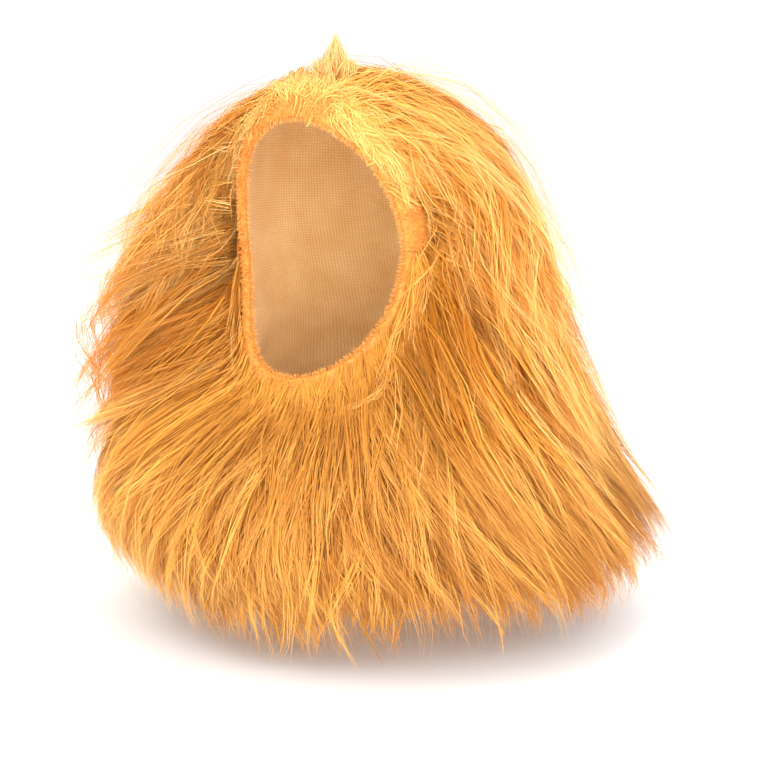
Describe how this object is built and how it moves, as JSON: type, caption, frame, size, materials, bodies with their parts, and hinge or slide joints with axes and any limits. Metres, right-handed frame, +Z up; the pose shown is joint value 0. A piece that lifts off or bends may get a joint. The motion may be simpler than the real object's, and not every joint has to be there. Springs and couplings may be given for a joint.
{
  "type": "pet lion mane wig",
  "caption": "Pull-on fabric hood for a large dog with an oval face opening, a short plush edge band, an open neck, and long golden pile in a wide ruff with a crown tuft.",
  "frame": {"origin": "underside of the hood's crown, where the wig sits on the top of the wearer's head", "axes": "+Z up; -Y the way the wearer looks, out of the face opening; +X the wearer's left"},
  "size_m": [0.455, 0.4704, 0.4372],
  "materials": {
    "long_pile": "long straight faux fur, soft sheen",
    "tuft_pile": "long faux fur, paler at the tips",
    "plush_band": "short plush",
    "knit_backing": "matt knitted backing",
    "neck_binding": "matt woven binding"
  },
  "bodies": {
    "root": {"hood_backing": "knit_backing", "brow_band": "plush_band", "chin_band": "plush_band", "neck_hem": "neck_binding", "left_fur": "long_pile", "right_fur": "long_pile", "bib_fur": "long_pile", "nape_fur": "long_pile", "top_tuft": "tuft_pile"}
  },
  "joints": []
}
